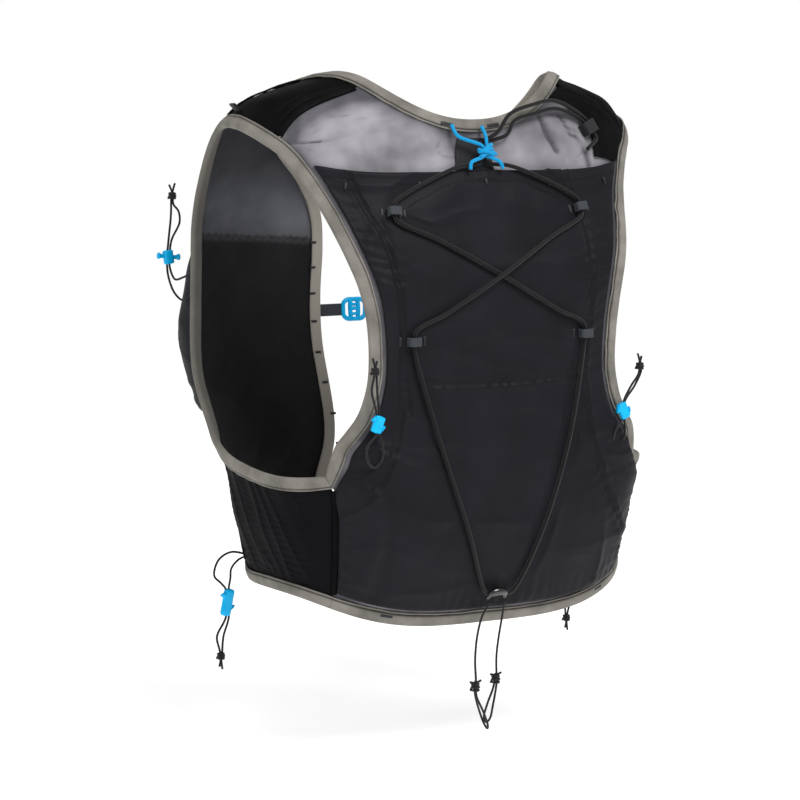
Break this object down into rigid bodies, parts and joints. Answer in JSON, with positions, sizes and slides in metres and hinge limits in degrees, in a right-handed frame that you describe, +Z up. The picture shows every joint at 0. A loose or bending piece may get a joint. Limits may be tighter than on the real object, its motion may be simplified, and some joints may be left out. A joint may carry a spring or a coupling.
{
  "type": "running hydration vest",
  "caption": "Close-fitting running vest with a flat back pack laced with elastic, chest bottle pockets, a sternum strap and cord adjusters at its edges.",
  "frame": {"origin": "midway between the tops of the two shoulder straps, at the neck edge; the vest is held up there in its worn form", "axes": "+Z up, -Y the way the wearer faces so the back is +Y, +X the wearer's left"},
  "size_m": [0.3146, 0.2528, 0.4579],
  "materials": {
    "yoke_mesh": "fine see-through knitted mesh",
    "dark_cloth": "dark stretch knit with a soft sheen",
    "pack_cloth": "smooth dark woven stretch cloth",
    "black_patch": "black stiff woven patch",
    "edge_tape": "warm grey ribbed folded elastic tape",
    "sternum_webbing": "slate narrow woven webbing",
    "black_webbing": "black narrow woven webbing",
    "black_cord": "black braided elastic cord",
    "blue_cord": "bright blue braided cord",
    "blue_plastic": "bright blue moulded plastic",
    "black_plastic": "glossy black moulded plastic"
  },
  "bodies": {
    "root": {"back_panel": "yoke_mesh", "shoulder_strap_left": "black_patch", "shoulder_strap_right": "black_patch", "front_panel_left": "dark_cloth", "front_panel_right": "dark_cloth", "side_panel_left": "dark_cloth", "side_panel_right": "dark_cloth", "neck_binding": "edge_tape", "armhole_binding_left": "edge_tape", "armhole_binding_right": "edge_tape", "back_hem_binding": "edge_tape", "side_hem_binding_left": "edge_tape", "side_hem_binding_right": "edge_tape", "pack_body": "pack_cloth", "chest_pocket_left": "dark_cloth", "chest_pocket_right": "dark_cloth", "centre_webbing": "black_webbing", "sternum_strap_left": "sternum_webbing", "sternum_strap_right": "sternum_webbing", "sternum_hook": "blue_plastic", "shoulder_tab_left": "black_webbing", "shoulder_tab_right": "black_webbing", "bungee_guide_upper_left": "black_webbing", "bungee_guide_upper_right": "black_webbing", "bungee_guide_lower_left": "black_webbing", "bungee_guide_lower_right": "black_webbing", "bottom_hook": "black_plastic", "yoke_keeper": "black_webbing", "tie_knot": "blue_cord", "bungee_left": "black_cord", "bungee_right": "black_cord", "tie_cord_left": "blue_cord", "tie_cord_right": "blue_cord", "hanging_cord_left": "black_cord", "hanging_cord_right": "black_cord", "hanging_knot_left": "black_cord", "hanging_knot_right": "black_cord", "chest_adjuster_left_cord": "black_cord", "chest_adjuster_left_lock": "blue_plastic", "chest_adjuster_left_knot": "black_cord", "chest_adjuster_right_cord": "black_cord", "chest_adjuster_right_lock": "blue_plastic", "chest_adjuster_right_knot": "black_cord", "lower_adjuster_left_cord": "black_cord", "lower_adjuster_left_lock": "blue_plastic", "lower_adjuster_left_knot": "black_cord", "lower_adjuster_right_cord": "black_cord", "lower_adjuster_right_lock": "blue_plastic", "lower_adjuster_right_knot": "black_cord", "back_adjuster_left_cord": "black_cord", "back_adjuster_left_lock": "blue_plastic", "back_adjuster_left_knot": "black_cord", "back_adjuster_right_cord": "black_cord", "back_adjuster_right_lock": "blue_plastic", "back_adjuster_right_knot": "black_cord"}
  },
  "joints": []
}
